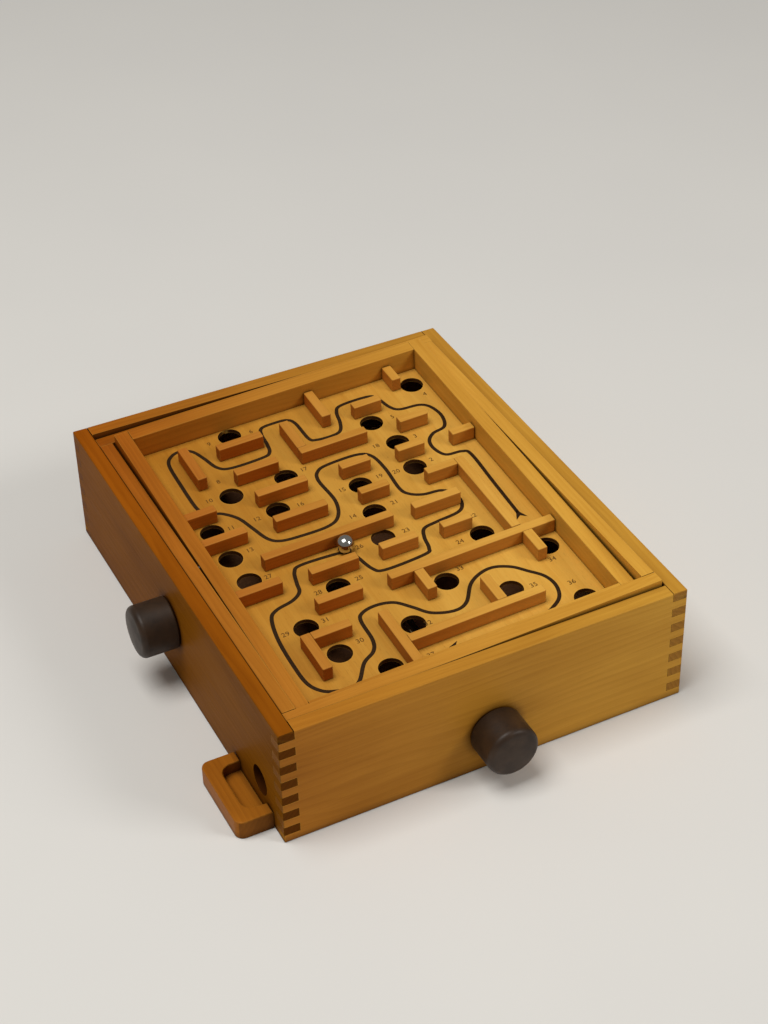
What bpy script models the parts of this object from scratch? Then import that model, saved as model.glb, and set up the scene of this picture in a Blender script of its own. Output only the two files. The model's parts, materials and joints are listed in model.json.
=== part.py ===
"""Tilt maze game: a finger-jointed wooden box, a maze tray hung in a two-axis gimbal, and two tilt knobs.

+X runs to the right along the front, +Y to the back and +Z up. The box stands on Z = 0.
The gimbal turns about an axis along Y, and the maze tray turns in the gimbal about an axis along X.
"""

import math

import bmesh
import bpy
from mathutils import Matrix, Vector

MM = 0.001
SAME_PLACE = 0.01 * MM

# Outer box
BOX_HALF_X = 135 * MM
BOX_HALF_Y = 165 * MM
BOX_HEIGHT = 84 * MM
WALL = 10 * MM
FINGER_COUNT = 14
FINGER = BOX_HEIGHT / FINGER_COUNT
JOINT_GAP = 0.2 * MM
OVERCUT = 1 * MM

# Gimbal frame, between the box and the maze tray
GIMBAL_HALF_X = 123.6 * MM
GIMBAL_HALF_Y = 154 * MM
GIMBAL_INNER_X = 114.8 * MM
GIMBAL_INNER_Y = 145 * MM
GIMBAL_UNDERSIDE = 62 * MM

# Maze tray: a frame of four bars around the playing board
TRAY_HALF_X = 113.4 * MM
TRAY_HALF_Y = 143.5 * MM
TRAY_INNER_X = 104 * MM
TRAY_INNER_FRONT = -136.5 * MM
TRAY_INNER_BACK = 134 * MM
BOARD_TOP = 67 * MM
BOARD_THICKNESS = 3 * MM
TRAY_UNDERSIDE = BOARD_TOP - BOARD_THICKNESS
GLUE_GAP = 0.1 * MM

# Tilt axes and the slight tilt the frames are left standing at
PIVOT_HEIGHT = 81 * MM
GIMBAL_REST_TILT = math.radians(-1.7)
TRAY_REST_TILT = math.radians(2.7)
PIN_RADIUS = 1.25 * MM
PIN_BORE = 1.4 * MM
PIN_DEPTH = 6.5 * MM
PIN_BORE_DEPTH = 7 * MM
PIN_SIDES = 24

# Holes and ball
HOLE_RADIUS = 7.9 * MM
HOLE_SIDES = 32
BALL_RADIUS = 6 * MM
BALL_X = -21.5 * MM
BALL_REST_GAP = 0.1 * MM
BALL_RINGS = 16
BALL_SECTORS = 32

# Maze strips
STRIP_HEIGHT = 10 * MM

# Knobs and the steel shafts they turn
SHAFT_RADIUS = 2 * MM
SHAFT_BORE = 2.15 * MM
SHAFT_SIDES = 32
FRONT_SHAFT_X = 3 * MM
FRONT_SHAFT_Z = 28.5 * MM
SIDE_SHAFT_Y = 0 * MM
SIDE_SHAFT_Z = 43.5 * MM
SHAFT_SEAT = 6 * MM
SHAFT_END_GAP = 0.4 * MM
KNOB_RADIUS = 17 * MM
KNOB_LENGTH = 24.8 * MM
KNOB_WALL_GAP = 0.7 * MM
KNOB_NOSE_ROUND = 4 * MM
KNOB_HEEL_ROUND = 1.2 * MM
KNOB_DOME = 0.9 * MM
KNOB_BORE_DEPTH = 17 * MM
KNOB_SHAFT_DEPTH = 16.5 * MM
KNOB_SIDES = 48
NOSE_STEPS = 6
HEEL_STEPS = 3
KNOB_REACH = KNOB_WALL_GAP + KNOB_LENGTH

# Tilt cords and the springs that keep them taut
CORD_RADIUS = 0.45 * MM
CORD_WRAP_RADIUS = 2.6 * MM
CORD_TURNS = 2
CORD_PITCH = 1.4 * MM
CORD_STEPS_PER_TURN = 16
CORD_HOLE_RADIUS = 0.95 * MM
CORD_HOLE_DEPTH = 6 * MM
CORD_IN_HOLE = 5 * MM
CORD_DROP = 2 * MM
GIMBAL_CORD_Y = -20 * MM
TRAY_CORD_X = -12 * MM
SPRING_START = 4 * MM
SPRING_LENGTH = 22 * MM
SPRING_TAIL = 1.5 * MM
SPRING_COIL_RADIUS = 2 * MM
SPRING_WIRE_RADIUS = 0.3 * MM
SPRING_TURNS = 7
SPRING_STEPS_PER_TURN = 10
CORD_TO_SPRING = 0.4 * MM

# Ball exit, catch tray and the sloping return floor
EXIT_Y = -133 * MM
EXIT_Z = 23 * MM
EXIT_RADIUS = 9.7 * MM
EXIT_SIDES = 40
CATCH_REACH = 23 * MM
CATCH_FRONT = -151 * MM
CATCH_BACK = -94 * MM
CATCH_HEIGHT = 13 * MM
CATCH_LIFT = 0.4 * MM
CATCH_GAP = 0.3 * MM
CATCH_RIM = 9 * MM
CATCH_POCKET_FLOOR = 5 * MM
CATCH_CORNER = 5.5 * MM
CATCH_CORNER_STEPS = 6
POCKET_CORNER = 7 * MM
POCKET_SIDES = 28
FLOOR_THICKNESS = 3 * MM
FLOOR_CENTRE_HEIGHT = 17.5 * MM
FLOOR_SLOPE_X = math.radians(0.45)
FLOOR_SLOPE_Y = math.radians(1.4)
FLOOR_EDGE_GAP = 0.6 * MM
BATTEN_WIDTH = 8 * MM
BATTEN_HEIGHT = 5 * MM
BATTEN_SHORTENING = 12 * MM

# Centres of the ball holes on the board, in millimetres from its middle
HOLES = (
    (93.7, 118.3), (50.5, 93.7), (-39.8, 126.0), (-63.3, 68.7), (-24.2, 69.1), (56.7, 66.8),
    (-88.5, 41.3), (-42.5, 41.6), (15.3, 38.8), (55.0, 38.4), (-88.0, 13.0), (11.4, 10.4),
    (-86.2, -11.6), (5.0, -14.6), (62.0, -40.9), (-39.7, -42.0), (21.3, -69.5), (92.3, -70.5),
    (-72.8, -65.9), (-64.3, -95.0), (-14.2, -93.7), (52.9, -94.9), (-42.7, -120.0), (90.0, -123.0),
)

# The long strip near the middle, which the ball rests in front of
MIDDLE_STRIP = (-74, 16, -8.5, -2)

# Maze strips. Each is a list of legs (x from, x to, y from, y to) in millimetres from the board's middle.
# The second and later legs are glued stubs that meet the first leg in a T or an L.
STRIPS = (
    ((-56, -24, 104, 110.5),),
    ((-56, -26, 75, 81.5),),
    ((-52.5, -17, 49, 55.5),),
    ((-52.5, -16, 21, 27.5),),
    ((-103.8, -72, 21, 27.5),),
    ((-103.8, -81, 49, 55.5),),
    ((-103.8, -72, -32, -25.5),),
    (MIDDLE_STRIP,),
    ((-9.5, 39, 75.5, 82), (-9.5, -3, 75.5, 112)),
    ((42, 62.5, 102, 108.5),),
    ((62.5, 83.5, 74, 80.5),),
    ((47.5, 67, 47, 53.5),),
    ((87, 103.8, 45.5, 52),),
    ((7, 28, 48.5, 55),),
    ((54, 82.5, 17.5, 24), (76, 82.5, -54.2, 24)),
    ((7, 27.5, 20, 26.5),),
    ((30.5, 64, -9, -2.5),),
    ((-53.5, -21, -34, -27.5),),
    ((-5, 20.5, -34, -27.5),),
    ((38, 59, -34, -27.5),),
    ((-12.5, 103.8, -61, -54.5), (3, 9.5, -80, -54.5), (80, 86.5, -81, -54.5)),
    ((-61.5, -31, -60, -53.5),),
    ((-83, -51, -86, -79.5), (-83, -76.5, -112, -79.5)),
    ((-33, 66, -115, -108.5), (-33, -26.5, -136.3, -83), (36, 42.5, -115, -85)),
    ((-80, -73.5, 82.5, 118),),
    ((19, 25.5, 104, 133.8),),
    ((78.5, 85, 117.5, 133.8),),
)


def clear_scene():
    """Starts from an empty file."""
    for obj in list(bpy.data.objects):
        bpy.data.objects.remove(obj)


def make_material(name, colour, roughness, metallic=0.0):
    """One Principled material per kind of stuff."""
    mat = bpy.data.materials.new(name)
    mat.use_nodes = True
    shader = mat.node_tree.nodes["Principled BSDF"]
    shader.inputs["Base Color"].default_value = (*colour, 1.0)
    shader.inputs["Roughness"].default_value = roughness
    shader.inputs["Metallic"].default_value = metallic
    return mat


def make_collection(name):
    """A collection linked to the scene."""
    group = bpy.data.collections.new(name)
    bpy.context.scene.collection.children.link(group)
    return group


clear_scene()
GAME = make_collection("tilt_maze_game")
CUTTERS = make_collection("cutters")

BOX_WOOD = make_material("box_wood", (0.62, 0.36, 0.13), 0.42)
FRAME_WOOD = make_material("frame_wood", (0.72, 0.45, 0.17), 0.40)
STRIP_WOOD = make_material("strip_wood", (0.66, 0.36, 0.12), 0.42)
BOARD_PLY = make_material("board_ply", (0.80, 0.60, 0.29), 0.38)
HARDBOARD = make_material("hardboard", (0.30, 0.18, 0.09), 0.62)
KNOB_LACQUER = make_material("knob_lacquer", (0.035, 0.026, 0.020), 0.34)
STEEL = make_material("steel", (0.60, 0.60, 0.62), 0.28, 1.0)
SPRING_STEEL = make_material("spring_steel", (0.48, 0.48, 0.50), 0.34, 1.0)
BALL_CHROME = make_material("ball_chrome", (0.82, 0.82, 0.84), 0.08, 1.0)
CORD = make_material("cord", (0.55, 0.52, 0.44), 0.85)


def link(obj, parent, mat=None, group=GAME):
    """Puts an object in a collection, under its parent, with its material."""
    group.objects.link(obj)
    obj.parent = parent
    if mat is not None:
        obj.data.materials.append(mat)
    return obj


def make_empty(name, parent, location, rotation=(0, 0, 0)):
    """A frame that a moving piece hangs from, on the joint's own axis."""
    obj = bpy.data.objects.new(name, None)
    obj.location = location
    obj.rotation_euler = rotation
    return link(obj, parent)


def add_block(bm, low, high):
    """A box between two corners, added to a mesh."""
    low = Vector(low)
    high = Vector(high)
    placed = Matrix.Translation((low + high) / 2) @ Matrix.Diagonal((*(high - low), 1))
    return bmesh.ops.create_cube(bm, size=1, matrix=placed)


def add_rod(bm, start, end, radius, sides):
    """A closed cylinder between two points, added to a mesh."""
    start = Vector(start)
    axis = Vector(end) - start
    turn = axis.to_track_quat("Z", "Y").to_matrix().to_4x4()
    placed = Matrix.Translation(start + axis / 2) @ turn
    bmesh.ops.create_cone(
        bm, cap_ends=True, segments=sides, radius1=radius, radius2=radius, depth=axis.length, matrix=placed
    )


def mesh_object(name, bm, parent, mat=None, group=GAME):
    """Turns a finished bmesh into a linked object."""
    mesh = bpy.data.meshes.new(name)
    bm.to_mesh(mesh)
    bm.free()
    return link(bpy.data.objects.new(name, mesh), parent, mat, group)


def block(name, low, high, parent, mat):
    """A plain wooden piece between two corners, in its parent's frame."""
    bm = bmesh.new()
    add_block(bm, low, high)
    return mesh_object(name, bm, parent, mat)


def rod(name, start, end, radius, sides, parent, mat):
    """A round metal rod between two points, with smooth sides."""
    bm = bmesh.new()
    add_rod(bm, start, end, radius, sides)
    for face in bm.faces:
        face.smooth = len(face.verts) == 4
    return mesh_object(name, bm, parent, mat)


def boolean(obj, tool, operation):
    """An exact Boolean with a hidden tool object."""
    tool.hide_render = True
    tool.display_type = "WIRE"
    modifier = obj.modifiers.new(operation.lower(), "BOOLEAN")
    modifier.operation = operation
    modifier.solver = "EXACT"
    modifier.object = tool


def cut(obj, parent, blocks=(), rods=()):
    """Cuts square notches and round bores out of one piece with a single tool."""
    bm = bmesh.new()
    for low, high in blocks:
        add_block(bm, low, high)
    for start, end, radius, sides in rods:
        add_rod(bm, start, end, radius, sides)
    boolean(obj, mesh_object(obj.name + "_cutter", bm, parent, group=CUTTERS), "DIFFERENCE")


def finger_heights(first):
    """The lowest and highest point of every second finger, cut a little past the box's top and bottom."""
    heights = []
    for index in range(first, FINGER_COUNT, 2):
        z_low = index * FINGER - JOINT_GAP / 2
        z_high = (index + 1) * FINGER + JOINT_GAP / 2
        if index == 0:
            z_low -= OVERCUT
        if index == FINGER_COUNT - 1:
            z_high += OVERCUT
        heights.append((z_low, z_high))
    return heights


def build_long_wall(name, side, origin, rods=()):
    """Front or back wall. Its fingers are the even heights, counted from the bottom."""
    low_y, high_y = sorted((side * BOX_HALF_Y, side * (BOX_HALF_Y - WALL)))
    wall = block(name, (-BOX_HALF_X, low_y, 0), (BOX_HALF_X, high_y, BOX_HEIGHT), origin, BOX_WOOD)
    notches = []
    for end in (-1, 1):
        near, far = sorted((end * (BOX_HALF_X - WALL - JOINT_GAP), end * (BOX_HALF_X + OVERCUT)))
        for z_low, z_high in finger_heights(1):
            notches.append(((near, low_y - OVERCUT, z_low), (far, high_y + OVERCUT, z_high)))
    cut(wall, origin, notches, rods)


def build_side_wall(name, side, origin, rods=()):
    """Left or right wall. Its fingers are the odd heights, so its end grain shows at the front and back."""
    low_x, high_x = sorted((side * BOX_HALF_X, side * (BOX_HALF_X - WALL)))
    wall = block(name, (low_x, -BOX_HALF_Y, 0), (high_x, BOX_HALF_Y, BOX_HEIGHT), origin, BOX_WOOD)
    notches = []
    for end in (-1, 1):
        near, far = sorted((end * (BOX_HALF_Y - WALL - JOINT_GAP), end * (BOX_HALF_Y + OVERCUT)))
        for z_low, z_high in finger_heights(0):
            notches.append(((low_x - OVERCUT, near, z_low), (high_x + OVERCUT, far, z_high)))
    cut(wall, origin, notches, rods)


def bore_along_y(x, z, y_from, y_to, radius, sides):
    """A bore parallel to Y, in the form cut takes."""
    return ((x, y_from, z), (x, y_to, z), radius, sides)


def bore_along_x(y, z, x_from, x_to, radius, sides):
    """A bore parallel to X, in the form cut takes."""
    return ((x_from, y, z), (x_to, y, z), radius, sides)


def build_box(origin):
    """Four finger-jointed walls with the shaft bores, the pivot bores and the round ball exit."""
    inner_y = BOX_HALF_Y - WALL
    inner_x = BOX_HALF_X - WALL
    through_y = (-BOX_HALF_Y - OVERCUT, OVERCUT - inner_y)
    through_x = (-BOX_HALF_X - OVERCUT, OVERCUT - inner_x)
    seat_y = (inner_y - OVERCUT, inner_y + SHAFT_SEAT)
    seat_x = (inner_x - OVERCUT, inner_x + SHAFT_SEAT)
    pin_front = (-inner_y - PIN_BORE_DEPTH, OVERCUT - inner_y)
    pin_back = (inner_y - OVERCUT, inner_y + PIN_BORE_DEPTH)
    front_rods = (
        bore_along_y(FRONT_SHAFT_X, FRONT_SHAFT_Z, *through_y, SHAFT_BORE, SHAFT_SIDES),
        bore_along_y(0, PIVOT_HEIGHT, *pin_front, PIN_BORE, PIN_SIDES),
    )
    back_rods = (
        bore_along_y(FRONT_SHAFT_X, FRONT_SHAFT_Z, *seat_y, SHAFT_BORE, SHAFT_SIDES),
        bore_along_y(0, PIVOT_HEIGHT, *pin_back, PIN_BORE, PIN_SIDES),
    )
    left_rods = (
        bore_along_x(SIDE_SHAFT_Y, SIDE_SHAFT_Z, *through_x, SHAFT_BORE, SHAFT_SIDES),
        bore_along_x(EXIT_Y, EXIT_Z, *through_x, EXIT_RADIUS, EXIT_SIDES),
    )
    right_rods = (bore_along_x(SIDE_SHAFT_Y, SIDE_SHAFT_Z, *seat_x, SHAFT_BORE, SHAFT_SIDES),)
    build_long_wall("front_wall", -1, origin, front_rods)
    build_long_wall("back_wall", 1, origin, back_rods)
    build_side_wall("left_wall", -1, origin, left_rods)
    build_side_wall("right_wall", 1, origin, right_rods)


def build_return_floor(origin):
    """Hardboard floor that slopes down to the front left corner, on two battens glued to the side walls."""
    slope = make_empty(
        "return_slope", origin, (0, 0, FLOOR_CENTRE_HEIGHT), (FLOOR_SLOPE_Y, -FLOOR_SLOPE_X, 0)
    )
    half_x = BOX_HALF_X - WALL - FLOOR_EDGE_GAP
    half_y = BOX_HALF_Y - WALL - FLOOR_EDGE_GAP
    block("return_floor", (-half_x, -half_y, -FLOOR_THICKNESS), (half_x, half_y, 0), slope, HARDBOARD)
    batten_top = -FLOOR_THICKNESS - GLUE_GAP
    batten_half_y = half_y - BATTEN_SHORTENING
    for name, side in (("left_batten", -1), ("right_batten", 1)):
        low_x, high_x = sorted((side * half_x, side * (half_x - BATTEN_WIDTH)))
        low = (low_x, -batten_half_y, batten_top - BATTEN_HEIGHT)
        high = (high_x, batten_half_y, batten_top)
        block(name, low, high, slope, BOX_WOOD)


def round_outer_corners(obj, outer_x):
    """Rounds the two upright edges of the catch tray that stand away from the box."""
    weights = obj.data.attributes.new("bevel_weight_edge", "FLOAT", "EDGE")
    for edge in obj.data.edges:
        ends = [obj.data.vertices[index].co for index in edge.vertices]
        upright = abs(ends[0].z - ends[1].z) > SAME_PLACE
        outer = all(abs(end.x - outer_x) < SAME_PLACE for end in ends)
        weights.data[edge.index].value = 1.0 if upright and outer else 0.0
    bevel = obj.modifiers.new("corners", "BEVEL")
    bevel.limit_method = "WEIGHT"
    bevel.width = CATCH_CORNER
    bevel.segments = CATCH_CORNER_STEPS


def build_catch_tray(origin):
    """Low wooden block under the ball exit, with a rounded pocket that is open towards the box."""
    outer_x = -BOX_HALF_X - CATCH_REACH
    inner_x = -BOX_HALF_X - CATCH_GAP
    low = (outer_x, CATCH_FRONT, CATCH_LIFT)
    high = (inner_x, CATCH_BACK, CATCH_HEIGHT)
    tray = block("catch_tray", low, high, origin, BOX_WOOD)
    round_outer_corners(tray, outer_x)
    pocket_x = outer_x + CATCH_RIM
    pocket_front = CATCH_FRONT + CATCH_RIM
    pocket_back = CATCH_BACK - CATCH_RIM
    top = CATCH_HEIGHT + OVERCUT
    bottom = CATCH_POCKET_FLOOR
    blocks = (
        ((pocket_x + POCKET_CORNER, pocket_front, bottom), (inner_x + OVERCUT, pocket_back, top)),
        (
            (pocket_x, pocket_front + POCKET_CORNER, bottom),
            (pocket_x + 2 * POCKET_CORNER, pocket_back - POCKET_CORNER, top),
        ),
    )
    corner_x = pocket_x + POCKET_CORNER
    rods = [
        ((corner_x, y, bottom), (corner_x, y, top), POCKET_CORNER, POCKET_SIDES)
        for y in (pocket_front + POCKET_CORNER, pocket_back - POCKET_CORNER)
    ]
    pocket_tools(tray, origin, blocks, rods)


def pocket_tools(tray, origin, blocks, rods):
    """Cuts the pocket with one plain tool per shape, so that no tool crosses itself."""
    for index, (low, high) in enumerate(blocks):
        bm = bmesh.new()
        add_block(bm, low, high)
        boolean(tray, mesh_object(f"pocket_block_{index + 1}", bm, origin, group=CUTTERS), "DIFFERENCE")
    for index, (start, end, radius, sides) in enumerate(rods):
        bm = bmesh.new()
        add_rod(bm, start, end, radius, sides)
        boolean(tray, mesh_object(f"pocket_corner_{index + 1}", bm, origin, group=CUTTERS), "DIFFERENCE")


def frame_bars(prefix, outer, inner, bottom, parent, long_sides):
    """Four butt-jointed bars round an opening.

    outer is half the frame's width and depth. inner is half the opening's width and its front and back.
    long_sides says whether the left and right bars run the full length.
    """
    half_x, half_y = outer
    inner_x, front_y, back_y = inner
    top = BOX_HEIGHT - PIVOT_HEIGHT
    low = bottom - PIVOT_HEIGHT
    side_front, side_back = (-half_y, half_y) if long_sides else (front_y + GLUE_GAP, back_y - GLUE_GAP)
    end_x = inner_x - GLUE_GAP if long_sides else half_x
    bars = {}
    for name, side in (("left", -1), ("right", 1)):
        x_low, x_high = sorted((side * half_x, side * inner_x))
        bars[name] = block(
            f"{prefix}_{name}_bar", (x_low, side_front, low), (x_high, side_back, top), parent, FRAME_WOOD
        )
    for name, y_low, y_high in (("front", -half_y, front_y), ("back", back_y, half_y)):
        bars[name] = block(
            f"{prefix}_{name}_bar", (-end_x, y_low, low), (end_x, y_high, top), parent, FRAME_WOOD
        )
    return bars


def cord_hole(x, y, bottom):
    """A blind hole drilled up into a bar's underside for the end of a cord or spring."""
    low = bottom - PIVOT_HEIGHT
    return ((x, y, low - OVERCUT), (x, y, low + CORD_HOLE_DEPTH), CORD_HOLE_RADIUS, PIN_SIDES)


def gimbal_anchor(side):
    """Where the gimbal cord enters a side bar, in the gimbal's frame."""
    shift = CORD_PITCH * CORD_TURNS if side > 0 else 0
    middle = side * (GIMBAL_HALF_X + GIMBAL_INNER_X) / 2
    return Vector((middle, GIMBAL_CORD_Y + shift, GIMBAL_UNDERSIDE - PIVOT_HEIGHT))


def tray_anchor(side):
    """Where the tray cord enters the front or back bar, in the tray's frame."""
    shift = CORD_PITCH * CORD_TURNS if side > 0 else 0
    inner_y = TRAY_INNER_BACK if side > 0 else TRAY_INNER_FRONT
    middle = (side * TRAY_HALF_Y + inner_y) / 2
    return Vector((TRAY_CORD_X + shift, middle, TRAY_UNDERSIDE - PIVOT_HEIGHT))


def build_gimbal(frame):
    """Middle frame. It hangs on pins along Y and carries the tray's pins along X."""
    outer = (GIMBAL_HALF_X, GIMBAL_HALF_Y)
    inner = (GIMBAL_INNER_X, -GIMBAL_INNER_Y, GIMBAL_INNER_Y)
    bars = frame_bars("gimbal", outer, inner, GIMBAL_UNDERSIDE, frame, False)
    for name, side in (("front", -1), ("back", 1)):
        mouth = side * (GIMBAL_HALF_Y + OVERCUT)
        end = side * (GIMBAL_HALF_Y - PIN_BORE_DEPTH)
        cut(bars[name], frame, rods=(bore_along_y(0, 0, mouth, end, PIN_BORE, PIN_SIDES),))
    for name, side in (("left", -1), ("right", 1)):
        mouth = side * (GIMBAL_INNER_X - OVERCUT)
        end = side * (GIMBAL_INNER_X + PIN_BORE_DEPTH)
        bore = bore_along_x(0, 0, mouth, end, PIN_BORE, PIN_SIDES)
        anchor = gimbal_anchor(side)
        cut(bars[name], frame, rods=(bore, cord_hole(anchor.x, anchor.y, GIMBAL_UNDERSIDE)))


def build_tray_frame(frame):
    """The four bars around the playing board, with blind bores for the tray's pins and cord."""
    outer = (TRAY_HALF_X, TRAY_HALF_Y)
    inner = (TRAY_INNER_X, TRAY_INNER_FRONT, TRAY_INNER_BACK)
    bars = frame_bars("tray", outer, inner, TRAY_UNDERSIDE, frame, True)
    for name, side in (("left", -1), ("right", 1)):
        mouth = side * (TRAY_HALF_X + OVERCUT)
        end = side * (TRAY_HALF_X - PIN_BORE_DEPTH)
        cut(bars[name], frame, rods=(bore_along_x(0, 0, mouth, end, PIN_BORE, PIN_SIDES),))
    for name, side in (("front", -1), ("back", 1)):
        anchor = tray_anchor(side)
        cut(bars[name], frame, rods=(cord_hole(anchor.x, anchor.y, TRAY_UNDERSIDE),))


def build_board(frame):
    """Playing board with its round ball holes, glued inside the tray frame."""
    half_x = TRAY_INNER_X - GLUE_GAP
    front_y = TRAY_INNER_FRONT + GLUE_GAP
    back_y = TRAY_INNER_BACK - GLUE_GAP
    top = BOARD_TOP - PIVOT_HEIGHT
    bottom = TRAY_UNDERSIDE - PIVOT_HEIGHT
    board = block("maze_board", (-half_x, front_y, bottom), (half_x, back_y, top), frame, BOARD_PLY)
    rods = [
        ((x * MM, y * MM, bottom - OVERCUT), (x * MM, y * MM, top + OVERCUT), HOLE_RADIUS, HOLE_SIDES)
        for x, y in HOLES
    ]
    cut(board, frame, rods=rods)


def build_strips(frame):
    """The maze strips glued on the board. A strip with stubs is one solid."""
    low = BOARD_TOP + GLUE_GAP - PIVOT_HEIGHT
    high = low + STRIP_HEIGHT
    for index, legs in enumerate(STRIPS):
        name = f"maze_strip_{index + 1:02d}"
        corners = [((x0 * MM, y0 * MM, low), (x1 * MM, y1 * MM, high)) for x0, x1, y0, y1 in legs]
        strip = block(name, *corners[0], frame, STRIP_WOOD)
        for stub, (near, far) in enumerate(corners[1:]):
            bm = bmesh.new()
            add_block(bm, near, far)
            tool = mesh_object(f"{name}_stub_{stub + 1}", bm, frame, group=CUTTERS)
            boolean(strip, tool, "UNION")


def build_pins(origin, gimbal):
    """Steel pivot pins: two in the box walls for the gimbal, two in the gimbal for the tray."""
    wall_y = BOX_HALF_Y - WALL
    for name, side in (("front", -1), ("back", 1)):
        start = (0, side * (wall_y + PIN_DEPTH), PIVOT_HEIGHT)
        end = (0, side * (GIMBAL_HALF_Y - PIN_DEPTH), PIVOT_HEIGHT)
        rod(f"gimbal_{name}_pin", start, end, PIN_RADIUS, PIN_SIDES, origin, STEEL)
    for name, side in (("left", -1), ("right", 1)):
        start = (side * (GIMBAL_INNER_X + PIN_DEPTH), 0, 0)
        end = (side * (TRAY_HALF_X - PIN_DEPTH), 0, 0)
        rod(f"tray_{name}_pin", start, end, PIN_RADIUS, PIN_SIDES, gimbal, STEEL)


def quarter_round(centre_x, centre_z, radius, start, end, steps):
    """Points on an arc from one angle to another, both in degrees."""
    points = []
    for step in range(steps + 1):
        angle = math.radians(start + (end - start) * step / steps)
        points.append((centre_x + radius * math.cos(angle), centre_z + radius * math.sin(angle)))
    return points


def knob_profile():
    """Half outline of a knob along +Z, from the domed nose round to the blind shaft bore in its heel."""
    nose_x = KNOB_RADIUS - KNOB_NOSE_ROUND
    nose_z = KNOB_LENGTH - KNOB_DOME - KNOB_NOSE_ROUND
    heel_x = KNOB_RADIUS - KNOB_HEEL_ROUND
    points = [(0, KNOB_LENGTH)]
    points += quarter_round(nose_x, nose_z, KNOB_NOSE_ROUND, 90, 0, NOSE_STEPS)
    points += quarter_round(heel_x, KNOB_HEEL_ROUND, KNOB_HEEL_ROUND, 0, -90, HEEL_STEPS)
    points += [(SHAFT_BORE, 0), (SHAFT_BORE, KNOB_BORE_DEPTH), (0, KNOB_BORE_DEPTH)]
    return points


def build_knob(name, axis_frame):
    """A turned knob on the shaft's outer end."""
    bm = bmesh.new()
    verts = [bm.verts.new((x, 0, z)) for x, z in knob_profile()]
    for first, second in zip(verts, verts[1:]):
        bm.edges.new((first, second))
    knob = mesh_object(name, bm, axis_frame, KNOB_LACQUER)
    knob.location = (0, 0, KNOB_WALL_GAP)
    screw = knob.modifiers.new("turn", "SCREW")
    screw.steps = KNOB_SIDES
    screw.render_steps = KNOB_SIDES
    screw.use_merge_vertices = True
    screw.merge_threshold = SAME_PLACE
    screw.use_smooth_shade = True


def build_knobs(origin):
    """Front knob and shaft along Y, side knob and shaft along X. Each frame's +Z points out of the box."""
    quarter_turn = math.pi / 2
    front_place = (FRONT_SHAFT_X, -BOX_HALF_Y, FRONT_SHAFT_Z)
    side_place = (-BOX_HALF_X, SIDE_SHAFT_Y, SIDE_SHAFT_Z)
    front = make_empty("front_knob_axis", origin, front_place, (quarter_turn, 0, 0))
    side = make_empty("side_knob_axis", origin, side_place, (0, -quarter_turn, 0))
    outer_end = KNOB_WALL_GAP + KNOB_SHAFT_DEPTH
    for prefix, frame, half in (("front", front, BOX_HALF_Y), ("side", side, BOX_HALF_X)):
        inner_end = -(2 * half - WALL + SHAFT_SEAT - SHAFT_END_GAP)
        build_knob(f"{prefix}_knob", frame)
        shaft_ends = ((0, 0, inner_end), (0, 0, outer_end))
        rod(f"{prefix}_shaft", *shaft_ends, SHAFT_RADIUS, SHAFT_SIDES, frame, STEEL)


def tube(name, points, radius, parent, mat):
    """A round wire or cord through a list of points, with closed ends."""
    curve = bpy.data.curves.new(name, "CURVE")
    curve.dimensions = "3D"
    curve.bevel_depth = radius
    curve.bevel_resolution = 2
    curve.use_fill_caps = True
    spline = curve.splines.new("POLY")
    spline.points.add(len(points) - 1)
    for slot, point in zip(spline.points, points):
        slot.co = (*point, 1.0)
    return link(bpy.data.objects.new(name, curve), parent, mat)


def wrap_points(near, far, centre, to_world):
    """A cord's run under a shaft: down from near, round the shaft CORD_TURNS times, and up to far.

    near, far and centre are (across, height) pairs. to_world(across, along, height) gives the point.
    """
    reach_near = math.hypot(near[0] - centre[0], near[1] - centre[1])
    reach_far = math.hypot(far[0] - centre[0], far[1] - centre[1])
    bearing_near = math.atan2(near[1] - centre[1], near[0] - centre[0])
    bearing_far = math.atan2(far[1] - centre[1], far[0] - centre[0])
    full_turn = 2 * math.pi
    start = bearing_near + math.acos(CORD_WRAP_RADIUS / reach_near)
    end = bearing_far - math.acos(CORD_WRAP_RADIUS / reach_far)
    end += full_turn * round(CORD_TURNS - (end - start) / full_turn)
    steps = CORD_TURNS * CORD_STEPS_PER_TURN
    points = []
    for step in range(steps + 1):
        share = step / steps
        angle = start + (end - start) * share
        across = centre[0] + CORD_WRAP_RADIUS * math.cos(angle)
        height = centre[1] + CORD_WRAP_RADIUS * math.sin(angle)
        points.append(to_world(across, CORD_PITCH * CORD_TURNS * share, height))
    return points


def spring_points(top, below, far):
    """A tension spring: a stem out of the bar's hole, the coil along the cord's line, and a short tail."""
    line = (far - below).normalized()
    side = line.orthogonal().normalized()
    other = line.cross(side)
    points = [top, below, below + line * (SPRING_START - SPRING_TAIL)]
    steps = SPRING_TURNS * SPRING_STEPS_PER_TURN
    for step in range(steps + 1):
        angle = 2 * math.pi * SPRING_TURNS * step / steps
        along = SPRING_START + SPRING_LENGTH * step / steps
        ring = side * math.cos(angle) + other * math.sin(angle)
        points.append(below + line * along + ring * SPRING_COIL_RADIUS)
    coil_end = SPRING_START + SPRING_LENGTH
    points.append(below + line * (coil_end + SPRING_TAIL))
    points.append(below + line * (coil_end + 2 * SPRING_TAIL))
    return points


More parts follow.
